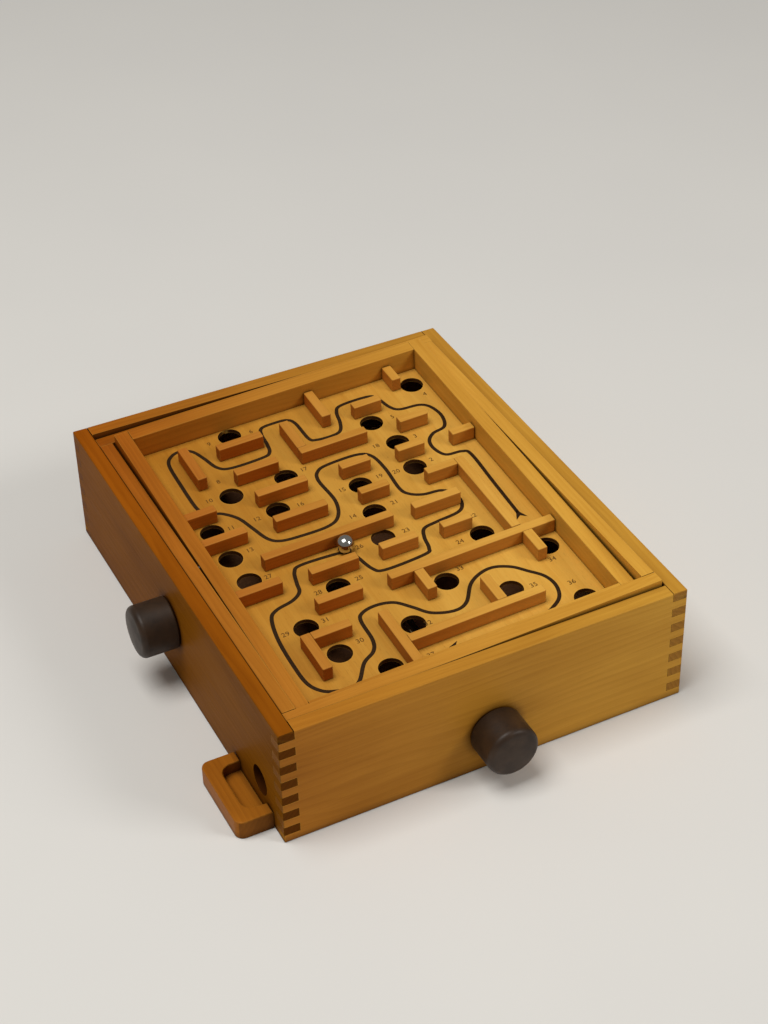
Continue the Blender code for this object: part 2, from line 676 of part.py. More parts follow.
def build_cord(name, near_anchor, far_anchor, frame, centre, across_axis, start_along, origin):
    """One tilt cord and its spring, drawn in the box's frame from the frames' tilted positions.

    across_axis is 0 for a cord that runs along X and 1 for one that runs along Y.
    """
    placed = origin.matrix_world.inverted() @ frame.matrix_world
    up = placed.to_3x3() @ Vector((0, 0, 1))
    near_low = placed @ near_anchor - up * CORD_DROP
    far_low = placed @ far_anchor - up * CORD_DROP
    near_top = placed @ near_anchor + up * CORD_IN_HOLE
    far_top = placed @ far_anchor + up * CORD_IN_HOLE

    def to_world(across, along, height):
        if across_axis == 0:
            return Vector((across, start_along + along, height))
        return Vector((start_along + along, across, height))

    near = (near_low[across_axis], near_low.z)
    far = (far_low[across_axis], far_low.z)
    wrap = wrap_points(near, far, centre, to_world)
    line = (wrap[-1] - far_low).normalized()
    cord_end = far_low + line * (SPRING_START + SPRING_LENGTH + 2 * SPRING_TAIL + CORD_TO_SPRING)
    spring = spring_points(far_top, far_low, wrap[-1])
    tube(f"{name}_cord", [near_top, near_low, *wrap, cord_end], CORD_RADIUS, origin, CORD)
    tube(f"{name}_spring", spring, SPRING_WIRE_RADIUS, origin, SPRING_STEEL)


def build_cords(origin, gimbal, tray):
    """The gimbal cord winds on the front knob's shaft, and the tray cord on the side knob's shaft."""
    bpy.context.view_layer.update()
    front_shaft = (FRONT_SHAFT_X, FRONT_SHAFT_Z)
    side_shaft = (SIDE_SHAFT_Y, SIDE_SHAFT_Z)
    gimbal_ends = (gimbal_anchor(-1), gimbal_anchor(1))
    tray_ends = (tray_anchor(-1), tray_anchor(1))
    build_cord("gimbal", *gimbal_ends, gimbal, front_shaft, 0, GIMBAL_CORD_Y, origin)
    build_cord("tray", *tray_ends, tray, side_shaft, 1, TRAY_CORD_X, origin)


def build_ball(frame):
    """Steel ball resting on the board against the front face of the long middle strip."""
    strip_front = MIDDLE_STRIP[2] * MM
    ball_y = strip_front - BALL_RADIUS - BALL_REST_GAP
    ball_z = BOARD_TOP - PIVOT_HEIGHT + BALL_RADIUS + BALL_REST_GAP
    bm = bmesh.new()
    bmesh.ops.create_uvsphere(bm, u_segments=BALL_SECTORS, v_segments=BALL_RINGS, radius=BALL_RADIUS)
    for face in bm.faces:
        face.smooth = True
    ball = mesh_object("steel_ball", bm, frame, BALL_CHROME)
    ball.location = (BALL_X, ball_y, ball_z)


def build_game():
    """Builds every piece. The knobs stick out at the front and left, so the box stands off the origin."""
    origin = make_empty("box_frame", None, (KNOB_REACH / 2, KNOB_REACH / 2, 0))
    gimbal = make_empty("gimbal_axis", origin, (0, 0, PIVOT_HEIGHT), (0, GIMBAL_REST_TILT, 0))
    tray = make_empty("tray_axis", gimbal, (0, 0, 0), (TRAY_REST_TILT, 0, 0))
    build_box(origin)
    build_return_floor(origin)
    build_catch_tray(origin)
    build_gimbal(gimbal)
    build_tray_frame(tray)
    build_board(tray)
    build_strips(tray)
    build_pins(origin, gimbal)
    build_knobs(origin)
    build_cords(origin, gimbal, tray)
    build_ball(tray)


build_game()
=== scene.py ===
import json
import math
import random

import bmesh
import bpy
from mathutils import Matrix, Vector
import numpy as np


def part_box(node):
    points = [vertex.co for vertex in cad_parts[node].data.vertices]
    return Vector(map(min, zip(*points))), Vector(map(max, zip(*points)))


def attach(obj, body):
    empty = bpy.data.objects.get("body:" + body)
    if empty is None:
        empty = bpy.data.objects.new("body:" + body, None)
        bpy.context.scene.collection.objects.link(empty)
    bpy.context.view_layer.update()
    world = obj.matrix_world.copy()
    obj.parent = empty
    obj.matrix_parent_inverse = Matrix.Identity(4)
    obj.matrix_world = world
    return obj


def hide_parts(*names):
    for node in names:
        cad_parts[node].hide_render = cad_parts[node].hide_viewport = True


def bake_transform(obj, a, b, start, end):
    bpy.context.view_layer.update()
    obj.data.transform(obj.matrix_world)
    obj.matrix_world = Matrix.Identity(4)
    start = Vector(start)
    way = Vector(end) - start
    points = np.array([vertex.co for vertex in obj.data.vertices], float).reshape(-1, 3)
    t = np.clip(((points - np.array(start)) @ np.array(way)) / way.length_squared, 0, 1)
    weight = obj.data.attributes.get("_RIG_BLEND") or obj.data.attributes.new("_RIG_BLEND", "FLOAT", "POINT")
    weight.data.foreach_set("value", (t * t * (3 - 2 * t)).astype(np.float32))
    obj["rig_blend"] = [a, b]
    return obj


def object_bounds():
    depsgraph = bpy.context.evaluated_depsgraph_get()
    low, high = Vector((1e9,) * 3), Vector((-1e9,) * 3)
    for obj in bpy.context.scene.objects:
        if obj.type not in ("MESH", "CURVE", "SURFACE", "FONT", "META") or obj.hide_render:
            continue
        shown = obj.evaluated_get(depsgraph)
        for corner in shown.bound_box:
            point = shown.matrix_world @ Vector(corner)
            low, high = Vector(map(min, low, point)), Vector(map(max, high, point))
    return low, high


# Tilt maze game: the finish of every piece, the printed board, the cords and a plain studio around it.
# Everything is in metres. +X runs to the right along the front, +Y to the back and +Z up.

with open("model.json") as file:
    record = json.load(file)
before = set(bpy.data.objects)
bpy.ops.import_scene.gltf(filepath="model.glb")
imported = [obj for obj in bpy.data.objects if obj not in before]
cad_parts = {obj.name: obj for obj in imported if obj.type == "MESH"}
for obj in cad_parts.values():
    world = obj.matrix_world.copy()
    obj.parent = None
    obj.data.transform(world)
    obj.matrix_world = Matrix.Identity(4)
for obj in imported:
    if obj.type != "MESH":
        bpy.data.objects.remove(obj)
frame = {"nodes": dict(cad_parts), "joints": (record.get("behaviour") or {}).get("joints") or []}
CAD_LOW, CAD_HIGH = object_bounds()

MM = 0.001
SAME_PLACE = 0.02 * MM
WELD = 0.005 * MM

# A face looks along an axis, or an edge runs along it, when its direction has at least this share of it
FACING = 0.7
FLAT_ANGLE = math.radians(1)
CREASE_ANGLE = math.radians(40)

# Rounding of the edges, by kind of piece. A bar's edges shorter than LEAST_EDGE stay sharp, and a ball
# hole's rim lies at least HOLE_INSET inside the board's outline.
WALL_EDGE = 0.8 * MM
BAR_EDGE = 0.6 * MM
STRIP_EDGE = 0.7 * MM
BOARD_RIM = 0.25 * MM
CATCH_EDGE = 0.9 * MM
EDGE_STEPS = 3
LEAST_EDGE = 4 * MM
HOLE_INSET = 4 * MM

# How strongly end grain shows, by kind of piece, from 0 to 1
SIDE_WALL_END = 1.0
CROSS_WALL_END = 0.75
BAR_END = 0.5
STRIP_END = 0.35
CATCH_END = 0.6
HOLE_WALL_END = 1.0

# The varnish is painted a darker orange on the left of the game and at its back, as painted shade, and on the
# sides of the strips, as painted shade; the sides of the left and right walls get less of it
PAINTED_SHADE_LEFT = 0.82
PAINTED_SHADE_BACK = 0.34
STRIP_SIDE_SHADE = 0.38
SIDE_WALL_SHADE_SCALE = 0.5

# How much painted shade a wall's bores and inner face get. A bore lies at least BORE_INSET inside the wall's
# outline.
BORE_SHADE = 0.7
INNER_FACE_SHADE = 0.5
BORE_INSET = (11 * MM, 11 * MM, 1.5 * MM)

# Seeds of the grain: the first one for each kind of piece. Each bar of a strip takes its own.
WALL_SEED = 11
CATCH_SEED = 21
BATTEN_SEED = 22
BAR_SEED = 31
BOARD_SEED = 51
STRIP_SEED = 100
SEEDS_PER_STRIP = 4

# Noise cells per millimetre of wood, along the fibres and across them
WANDER_CELLS = (0.006, 0.022, 0.022)
FIBRE_CELLS = (0.035, 1.9, 1.9)
STREAK_CELLS = (0.012, 0.42, 0.42)
CLOUD_CELLS = (0.011, 0.03, 0.03)
FLECK_CELLS = (0.22, 3.4, 3.4)
PORE_CELLS = (0.9, 3.2, 3.2)

# Growth rings: how far they wander in millimetres, and where in a ring it starts to darken and is darkest
RING_WANDER = 26.0
LATE_WOOD_START = 0.15
LATE_WOOD_PEAK = 0.90

# Smooth noise mostly lies between these values
NOISE_LOW = 0.3
NOISE_HIGH = 0.7

# Knobs and ball
KNOB_NOSE_ROUND = 4 * MM
KNOB_HEEL_ROUND = 1.2 * MM
KNOB_DOME = 0.9 * MM
KNOB_BORE = 2.15 * MM
KNOB_BORE_DEPTH = 17 * MM
KNOB_SIDES = 96
ROUND_STEPS = 10
BALL_SIDES = 64
BALL_RINGS = 32

# Cords: half the length of the winding, kept in one part
WINDING_HALF = 4 * MM

# Print on the board
LINE_WIDTH = 2.5 * MM
INK_LIFT = 0.02 * MM
INK_THICKNESS = 0.05 * MM
LINE_STEPS = 7
NUMBER_SIZE = 5.2 * MM
NUMBER_CURVE_STEPS = 3
ARROW_LENGTH = 9 * MM
ARROW_HALF_WIDTH = 4 * MM
ARROW_NOTCH = 3 * MM

# The printed line, from the start arrow to the finish, in millimetres from where the tilt axes cross
PATH = (
    (92, -34), (93, 0), (94, 32), (90, 38), (79, 40), (75, 49), (76, 58), (82, 64), (92, 67), (96, 78),
    (94, 90), (88, 96), (74, 98), (69, 104), (66, 116), (61, 121), (41, 121), (35, 116), (32, 104), (28, 96),
    (21, 94), (10, 95), (6, 99), (5, 118), (1, 124), (-8, 125), (-17, 124), (-20, 118), (-21, 106), (-23, 98),
    (-29, 95), (-52, 95), (-60, 100), (-64, 113), (-68, 123), (-75, 127), (-82, 125), (-87, 117), (-88, 94),
    (-88, 70), (-86, 64), (-82, 59), (-75, 55), (-68, 46), (-64, 33), (-60, 20), (-54, 14), (-42, 12),
    (-21, 12), (-11, 18), (-6, 33), (-7, 56), (-3, 65), (6, 68), (27, 68), (35, 62), (37, 46), (36, 24),
    (39, 16), (47, 11), (59, 9), (65, 2), (65, -8), (59, -15), (42, -17), (32, -19), (28, -27), (26, -37),
    (21, -41), (-7, -42), (-14, -37), (-18, -21), (-22, -16), (-29, -14), (-52, -13), (-58, -17), (-61, -27),
    (-63, -35), (-70, -40), (-82, -43), (-88, -49), (-92, -68), (-93, -93), (-92, -109), (-87, -118),
    (-80, -122), (-71, -124), (-64, -121), (-55, -109), (-46, -103), (-42, -94), (-41, -76), (-37, -70),
    (-27, -68), (-16, -71), (-8, -80), (0, -90), (13, -95), (23, -92), (33, -79), (43, -73), (53, -72),
    (63, -77), (70, -85), (77, -94), (79, -104), (76, -114), (69, -120), (58, -124), (30, -124), (2, -122.8),
)

# Where the small numbers stand beside the holes and along the line, in millimetres from the same point
NUMBER_PLACES = (
    (-55, 125), (-25, 124), (-65, 86), (-78, 71), (-10.5, 71), (-26, 78), (66, 93), (42, 70), (70, 67),
    (97, 105), (-76, 40), (-58, 40), (-27.5, 40), (2.5, 40), (30, 41), (42, 40), (68, 40), (-74, 15),
    (-3, 13), (27, 13), (-74, -13), (-12, -15), (21, -15), (65, -23), (46, -41), (-53, -41), (-25, -41),
    (84, -43), (34, -63), (-86, -65), (-59.5, -65), (89, -83), (-49, -91), (89, -107), (-17, -122),
    (67, -98), (-6, -97),
)

# Camera and studio. VIEW_AIM is a point in the box's own frame.
VIEW_AZIMUTH = math.radians(-28.2)
VIEW_ELEVATION = math.radians(36.7)
VIEW_DISTANCE = 1.431
VIEW_AIM = Vector((0.0945, 0.051, 0.042))
VIEW_LENS = 74.2
VIEW_SHIFT = (-0.073, -0.036)
FLOOR_REACH = 12.0
LIGHT_AIM = Vector((0, 0, 0.05))
SURROUNDINGS_STRENGTH = 0.23


def srgb(red, green, blue):
    """A colour given as on a screen, 0 to 255, in the linear form that materials take."""
    linear = []
    for value in (red, green, blue):
        share = value / 255
        linear.append(share / 12.92 if share <= 0.04045 else ((share + 0.055) / 1.055) ** 2.4)
    return (*linear, 1.0)


# Node trees

def wire(tree, value, slot):
    """Links a socket, or sets a plain value."""
    if isinstance(value, bpy.types.NodeSocket):
        tree.links.new(value, slot)
    else:
        slot.default_value = value


def add(tree, kind, *values, **settings):
    """Adds a node with its settings and its inputs in order."""
    node = tree.nodes.new(kind)
    for name, value in settings.items():
        setattr(node, name, value)
    slots = [slot for slot in node.inputs if slot.enabled]
    for slot, value in zip(slots, values):
        wire(tree, value, slot)
    return node


def maths(tree, operation, *values):
    """One maths node's result."""
    return add(tree, "ShaderNodeMath", *values, operation=operation).outputs[0]


def ramp(tree, value, low, high, out_low=0.0, out_high=1.0):
    """Maps value from low..high to out_low..out_high, clamped."""
    node = add(tree, "ShaderNodeMapRange", value, low, high, out_low, out_high, clamp=True)
    return node.outputs[0]


def spread(tree, value, out_low, out_high):
    """Maps smooth noise to out_low..out_high."""
    return ramp(tree, value, NOISE_LOW, NOISE_HIGH, out_low, out_high)


def mix(tree, share, first, second):
    """Two colours mixed."""
    return add(tree, "ShaderNodeMix", share, first, second, data_type="RGBA").outputs[2]


def scaled(tree, vector, scale):
    """A vector times a scale on each axis."""
    return add(tree, "ShaderNodeVectorMath", vector, scale, operation="MULTIPLY").outputs[0]


def noise(tree, vector, detail=2.0, roughness=0.5):
    """Smooth noise at one cell per unit."""
    node = add(tree, "ShaderNodeTexNoise")
    wire(tree, vector, node.inputs["Vector"])
    node.inputs["Scale"].default_value = 1.0
    node.inputs["Detail"].default_value = detail
    node.inputs["Roughness"].default_value = roughness
    return node.outputs[0]


def object_place(tree):
    """Where a point is on its object, in metres."""
    return add(tree, "ShaderNodeTexCoord").outputs["Object"]


def object_noise(tree, cells, detail=2.0, roughness=0.5):
    """Smooth noise on an object, with the same number of cells per metre on each axis."""
    return noise(tree, scaled(tree, object_place(tree), (cells, cells, cells)), detail, roughness)


def new_material(name):
    """An empty node material with a Principled surface. Returns the material, its tree and its shader."""
    mat = bpy.data.materials.new(name)
    mat.use_nodes = True
    tree = mat.node_tree
    return mat, tree, tree.nodes["Principled BSDF"]


def set_surface(tree, shader, colour, roughness):
    """Wires a surface's colour and roughness."""
    wire(tree, colour, shader.inputs["Base Color"])
    wire(tree, roughness, shader.inputs["Roughness"])


def set_relief(tree, shader, height, strength, depth):
    """Adds fine relief to a surface. depth is what a height of 1 stands for, in metres."""
    bump = add(tree, "ShaderNodeBump")
    bump.inputs["Strength"].default_value = strength
    bump.inputs["Distance"].default_value = depth
    wire(tree, height, bump.inputs["Height"])
    wire(tree, bump.outputs[0], shader.inputs["Normal"])


def edge_mask(tree, radius):
    """1 on convex and concave edges, 0 on flat faces."""
    soft = add(tree, "ShaderNodeBevel", radius, samples=4).outputs[0]
    true = add(tree, "ShaderNodeNewGeometry").outputs["True Normal"]
    match = add(tree, "ShaderNodeVectorMath", soft, true, operation="DOT_PRODUCT").outputs["Value"]
    return ramp(tree, match, 0.995, 0.86)


def crevice_mask(tree, distance):
    """1 deep in a corner or gap, 0 in the open, from ambient occlusion; it sets where painted shade goes."""
    node = add(tree, "ShaderNodeAmbientOcclusion", samples=6)
    node.inputs["Distance"].default_value = distance
    return ramp(tree, node.outputs["AO"], 0.95, 0.25)


def attribute(tree, name, output):
    """A value stored on the mesh."""
    return add(tree, "ShaderNodeAttribute", attribute_name=name).outputs[output]


# Wood. The mesh gives "grain" (millimetres, X along the fibres), "end" (how strongly end grain shows),
# "warmth_and_shade" (how orange the varnish is, and with it painted shade, as the orange is darker) and, on
# the box's walls, "inside" (how much painted shade bores and inner faces get).

DEEP_BROWN = srgb(52, 22, 5)


def growth_rings(tree, place, spacing):
    """Rings round the fibres, from 0 in early wood to 1 in late wood. spacing is in millimetres."""
    drift = noise(tree, scaled(tree, place, WANDER_CELLS))
    parts = add(tree, "ShaderNodeSeparateXYZ", place)
    shift = maths(tree, "MULTIPLY", maths(tree, "SUBTRACT", drift, 0.5), RING_WANDER)
    across = maths(tree, "ADD", parts.outputs[1], shift)
    flat = add(tree, "ShaderNodeCombineXYZ", 0.0, across, parts.outputs[2]).outputs[0]
    radius = add(tree, "ShaderNodeVectorMath", flat, operation="LENGTH").outputs["Value"]
    turn = maths(tree, "FRACT", maths(tree, "DIVIDE", radius, spacing))
    darkening = ramp(tree, turn, LATE_WOOD_START, LATE_WOOD_PEAK)
    fading = ramp(tree, turn, LATE_WOOD_PEAK, 1.0, 1.0, 0.0)
    return maths(tree, "MULTIPLY", darkening, fading)


def wood_tone(tree, place, ring, fibre, streak, figure):
    """How dark the wood is, from 0 to 1: its rings, fibres and streaks, and broad clouds."""
    cloud = noise(tree, scaled(tree, place, CLOUD_CELLS))
    tone = maths(tree, "MULTIPLY", ring, figure)
    for pattern, lightest, darkest in ((fibre, -0.10, 0.14), (streak, -0.08, 0.16), (cloud, 0.0, 0.55)):
        tone = maths(tree, "ADD", tone, spread(tree, pattern, lightest, darkest))
    return add(tree, "ShaderNodeClamp", tone, 0.0, 1.0).outputs[0]


def end_grain(tree, place, ring, colour):
    """The end grain's colour, darker in the pores and in the rings' late wood."""
    pores = noise(tree, scaled(tree, place, PORE_CELLS), 3.0, 0.7)
    rings = maths(tree, "MULTIPLY", ring, 0.35)
    dark = maths(tree, "ADD", rings, ramp(tree, pores, 0.35, 0.65, 0.0, 0.45))
    return mix(tree, maths(tree, "MULTIPLY", dark, 0.5), colour, DEEP_BROWN)


def wood_material(name, golden, orange, ends, spacing, figure, gloss, shade_reach, shade):
    """Varnished wood with growth rings through the whole piece, fibres, flecks and darker end grain.

    golden and orange are the light and dark colours at warmth_and_shade 0 and 1, and ends is the end grain's
    colour at warmth_and_shade 0 and 1; the darker orange at high warmth_and_shade is painted shade. spacing
    is the rings' spacing in millimetres, and figure is how strongly they show. gloss is the varnish's
    reflection. Gaps and corners get painted shade of strength shade within shade_reach.
    """
    mat, tree, shader = new_material(name)
    place = attribute(tree, "grain", "Vector")
    is_end = attribute(tree, "end", "Fac")
    warmth_and_shade = attribute(tree, "warmth_and_shade", "Fac")

    ring = growth_rings(tree, place, spacing)
    fibre = noise(tree, scaled(tree, place, FIBRE_CELLS), 3.0, 0.65)
    streak = noise(tree, scaled(tree, place, STREAK_CELLS))
    fleck = ramp(tree, noise(tree, scaled(tree, place, FLECK_CELLS), 1.0), 0.66, 0.74)

    tone = wood_tone(tree, place, ring, fibre, streak, figure)
    # warmth_and_shade mixes in the darker orange: painted shade towards the left and the back.
    colour = mix(tree, warmth_and_shade, mix(tree, tone, *golden), mix(tree, tone, *orange))
    end_colour = mix(tree, warmth_and_shade, *ends)
    colour = mix(tree, maths(tree, "MULTIPLY", fleck, 0.25), colour, end_colour)
    colour = mix(tree, is_end, colour, end_grain(tree, place, ring, end_colour))

    # Edges painted lighter: partly wear, partly painted highlight on the rounded edges.
    worn = maths(tree, "MULTIPLY", edge_mask(tree, 1.1 * MM), ramp(tree, streak, 0.35, 0.6, 0.10, 0.40))
    colour = mix(tree, worn, colour, golden[0])
    # Painted shade in gaps and corners, from ambient occlusion.
    painted_crevice_shade = maths(tree, "MULTIPLY", crevice_mask(tree, shade_reach), shade)
    colour = mix(tree, painted_crevice_shade, colour, DEEP_BROWN)
    # Painted shade on the walls' bores and inner faces.
    colour = mix(tree, attribute(tree, "inside", "Fac"), colour, DEEP_BROWN)

    roughness = maths(tree, "ADD", spread(tree, fibre, 0.37, 0.51), maths(tree, "MULTIPLY", is_end, 0.18))
    height = maths(tree, "SUBTRACT", fibre, maths(tree, "MULTIPLY", fleck, 0.7))
    height = maths(tree, "ADD", height, maths(tree, "MULTIPLY", ring, 0.35))
    set_surface(tree, shader, colour, roughness)
    set_relief(tree, shader, height, 0.22, 0.12 * MM)
    shader.inputs["Specular IOR Level"].default_value = gloss
    return mat


BOX_WOOD = wood_material(
    "box_wood_finish",
    golden=(srgb(206, 154, 58), srgb(178, 125, 40)), orange=(srgb(166, 94, 18), srgb(134, 70, 8)),
    ends=(srgb(164, 114, 42), srgb(100, 54, 8)),
    spacing=3.4, figure=0.20, gloss=0.08, shade_reach=6 * MM, shade=0.95,
)
# The left wall's wood is a darker copy of the box wood: painted shade on that wall.
SHADED_LEFT_WOOD = wood_material(
    "left_wall_painted_shade",
    golden=(srgb(122, 84, 14), srgb(96, 62, 10)), orange=(srgb(154, 82, 12), srgb(124, 61, 6)),
    ends=(srgb(104, 58, 12), srgb(88, 46, 8)),
    spacing=3.4, figure=0.20, gloss=0.015, shade_reach=6 * MM, shade=0.95,
)
FRAME_WOOD = wood_material(
    "frame_wood_finish",
    golden=(srgb(222, 168, 68), srgb(198, 140, 46)), orange=(srgb(168, 91, 15), srgb(134, 67, 7)),
    ends=(srgb(168, 112, 40), srgb(104, 56, 10)),
    spacing=3.0, figure=0.20, gloss=0.10, shade_reach=3 * MM, shade=0.85,
)
STRIP_WOOD = wood_material(
    "strip_wood_finish",
    golden=(srgb(230, 178, 80), srgb(206, 148, 54)), orange=(srgb(170, 90, 20), srgb(140, 64, 8)),
    ends=(srgb(178, 112, 40), srgb(118, 58, 12)),
    spacing=2.6, figure=0.18, gloss=0.12, shade_reach=3 * MM, shade=0.4,
)
BOARD_WOOD = wood_material(
    "board_ply_finish",
    golden=(srgb(230, 180, 82), srgb(212, 155, 60)), orange=(srgb(172, 112, 28), srgb(148, 88, 16)),
    ends=(srgb(88, 54, 20), srgb(66, 36, 12)),
    spacing=9.0, figure=0.22, gloss=0.12, shade_reach=3 * MM, shade=0.4,
)


# The other materials

def hardboard_material():
    """Bare brown pressed board with short fibres."""
    mat, tree, shader = new_material("hardboard_finish")
    fine = object_noise(tree, 900, 4.0, 0.7)
    broad = object_noise(tree, 60)
    tone = maths(tree, "ADD", maths(tree, "MULTIPLY", fine, 0.6), maths(tree, "MULTIPLY", broad, 0.4))
    colour = mix(tree, ramp(tree, tone, 0.35, 0.65), srgb(150, 100, 58), srgb(100, 62, 34))
    set_surface(tree, shader, colour, spread(tree, fine, 0.6, 0.85))
    set_relief(tree, shader, fine, 0.4, 0.1 * MM)
    return mat


def lacquer_material():
    """Very dark brown lacquer over turned wood, a little lighter where the edges are handled."""
    mat, tree, shader = new_material("dark_lacquer_finish")
    broad = object_noise(tree, 70, 3.0, 0.6)
    fine = object_noise(tree, 1400, 3.0, 0.6)
    colour = mix(tree, ramp(tree, broad, 0.35, 0.65), srgb(58, 41, 27), srgb(40, 27, 17))
    worn = maths(tree, "MULTIPLY", edge_mask(tree, 2.0 * MM), ramp(tree, broad, 0.4, 0.65, 0.1, 0.6))
    colour = mix(tree, worn, colour, srgb(74, 52, 34))
    set_surface(tree, shader, colour, spread(tree, broad, 0.42, 0.56))
    set_relief(tree, shader, fine, 0.12, 0.05 * MM)
    shader.inputs["Specular IOR Level"].default_value = 0.25
    shader.inputs["Coat Weight"].default_value = 0.08
    shader.inputs["Coat Roughness"].default_value = 0.3
    return mat


def metal_material(name, colour, roughness, mark_cells):
    """Metal with fine drawn or polished marks, in cells per metre on each axis, and duller clouds."""
    mat, tree, shader = new_material(name)
    marks = noise(tree, scaled(tree, object_place(tree), mark_cells), 3.0, 0.6)
    stain = ramp(tree, object_noise(tree, 90), 0.35, 0.7, 0.0, 0.6)
    dull = tuple(channel * 0.7 for channel in colour[:3]) + (1.0,)
    set_surface(
        tree, shader, mix(tree, stain, colour, dull), spread(tree, marks, roughness * 0.8, roughness * 1.5)
    )
    set_relief(tree, shader, marks, 0.06, 0.02 * MM)
    shader.inputs["Metallic"].default_value = 1.0
    return mat


def cord_material():
    """Natural cotton cord with a fine twist."""
    mat, tree, shader = new_material("cord_finish")
    wave = add(tree, "ShaderNodeTexWave", wave_type="BANDS", bands_direction="DIAGONAL")
    wire(tree, object_place(tree), wave.inputs["Vector"])
    wave.inputs["Scale"].default_value = 420.0
    wave.inputs["Distortion"].default_value = 1.5
    strands = wave.outputs["Fac"]
    colour = mix(tree, strands, srgb(112, 92, 62), srgb(150, 130, 96))
    set_surface(tree, shader, colour, ramp(tree, strands, 0.0, 1.0, 0.95, 0.8))
    set_relief(tree, shader, strands, 0.6, 0.15 * MM)
    return mat


def ink_material(name, ink, faded):
    """Printed ink, a little uneven. faded is how much of the wood's colour shows in the worn places."""
    mat, tree, shader = new_material(name)
    fine = object_noise(tree, 1100, 3.0, 0.6)
    broad = object_noise(tree, 45)
    worn = maths(tree, "MULTIPLY", ramp(tree, fine, 0.45, 0.7), ramp(tree, broad, 0.35, 0.65, 0.4, 1.0))
    colour = mix(tree, maths(tree, "MULTIPLY", worn, faded), ink, srgb(120, 80, 36))
    set_surface(tree, shader, colour, spread(tree, fine, 0.7, 0.85))
    shader.inputs["Specular IOR Level"].default_value = 0.12
    return mat


HARDBOARD = hardboard_material()
LACQUER = lacquer_material()
STEEL = metal_material("steel_finish", (0.15, 0.145, 0.14, 1.0), 0.55, (900, 900, 60))
SPRING_STEEL = metal_material("spring_steel_finish", (0.48, 0.48, 0.50, 1.0), 0.34, (700, 700, 700))
CHROME = metal_material("polished_steel_finish", (0.60, 0.59, 0.57, 1.0), 0.12, (400, 400, 400))
CORD = cord_material()
LINE_INK = ink_material("line_ink", srgb(44, 29, 13), 0.2)
NUMBER_INK = ink_material("number_ink", srgb(92, 62, 26), 0.6)


# The frames that the pieces are square to, from the record's joints

def joint(name):
    """One joint of the record."""
    return next(item for item in frame["joints"] if item["name"] == name)


def axes_matrix(origin, x_axis, y_axis, z_axis):
    """A frame from its origin and three axes."""
    matrix = Matrix((x_axis, y_axis, z_axis)).transposed().to_4x4()
    matrix.translation = origin
    return matrix


def box_frame():
    """The box's own frame, with its origin on the ground below the middle of the box."""
    front_low, front_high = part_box("front_wall")
    left_low, left_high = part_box("left_wall")
    return Matrix.Translation(((front_low.x + front_high.x) / 2, (left_low.y + left_high.y) / 2, 0))


def gimbal_frame():
    """The gimbal's own frame, with its origin where the two tilt axes cross."""
    across = Vector(joint("tray_tilt")["axis"]).normalized()
    along = Vector(joint("gimbal_tilt")["axis"]).normalized()
    return axes_matrix(Vector(joint("gimbal_tilt")["pos_m"]), across, along, across.cross(along))


def tray_frame():
    """The maze tray's own frame, with its origin where the two tilt axes cross."""
    across = Vector(joint("tray_tilt")["axis"]).normalized()
    up = Vector(joint("ball_lift")["axis"]).normalized()
    along = up.cross(across).normalized()
    return axes_matrix(Vector(joint("tray_tilt")["pos_m"]), across, along, across.cross(along))


BOX_FRAME = box_frame()
GIMBAL_FRAME = gimbal_frame()
TRAY_FRAME = tray_frame()


def local_points(node, place):
    """A CAD node's corners in a frame."""
    back = place.inverted()
    return [back @ vertex.co for vertex in frame["nodes"][node].data.vertices]


def local_box(node, place):
    """A CAD node's lowest and highest corner in a frame."""
    points = local_points(node, place)
    low = Vector([min(point[axis] for point in points) for axis in range(3)])
    high = Vector([max(point[axis] for point in points) for axis in range(3)])
    return low, high


def long_axis(low, high):
    """The number of the axis along which a piece is longest."""
    size = high - low
    return max(range(3), key=lambda axis: size[axis])


def along_axis(axis, value):
    """A vector along one axis."""
    vector = Vector((0, 0, 0))
    vector[axis] = value
    return vector


# Building pieces

def flattened(node, place):
    """A CAD node's shape in a frame, welded, with its flat faces in one piece."""
    bm = bmesh.new()
    bm.from_mesh(frame["nodes"][node].data)
    bmesh.ops.transform(bm, matrix=place.inverted(), verts=bm.verts)
    bmesh.ops.remove_doubles(bm, verts=bm.verts, dist=WELD)
    bmesh.ops.dissolve_limit(bm, angle_limit=FLAT_ANGLE, verts=bm.verts, edges=bm.edges)
    return bm


def is_crease(edge):
    """An edge between two faces that meet at a clear angle."""
    return len(edge.link_faces) == 2 and edge.calc_face_angle(0) > CREASE_ANGLE


def soften(bm, edges, width):
    """Rounds some of a mesh's edges."""
    if edges:
        bmesh.ops.bevel(
            bm, geom=edges, offset=width, offset_type="OFFSET", segments=EDGE_STEPS, profile=0.5,
            affect="EDGES", clamp_overlap=True,
        )


def warmth_at(point):
    """Painted shade: a darker orange on the left of the game and a little at the back, golden at the front
    right.
    """
    across = (point.x - CAD_LOW.x) / (CAD_HIGH.x - CAD_LOW.x)
    deep = (point.y - CAD_LOW.y) / (CAD_HIGH.y - CAD_LOW.y)
    return min(1.0, max(0.0, PAINTED_SHADE_LEFT - across + PAINTED_SHADE_BACK * deep))


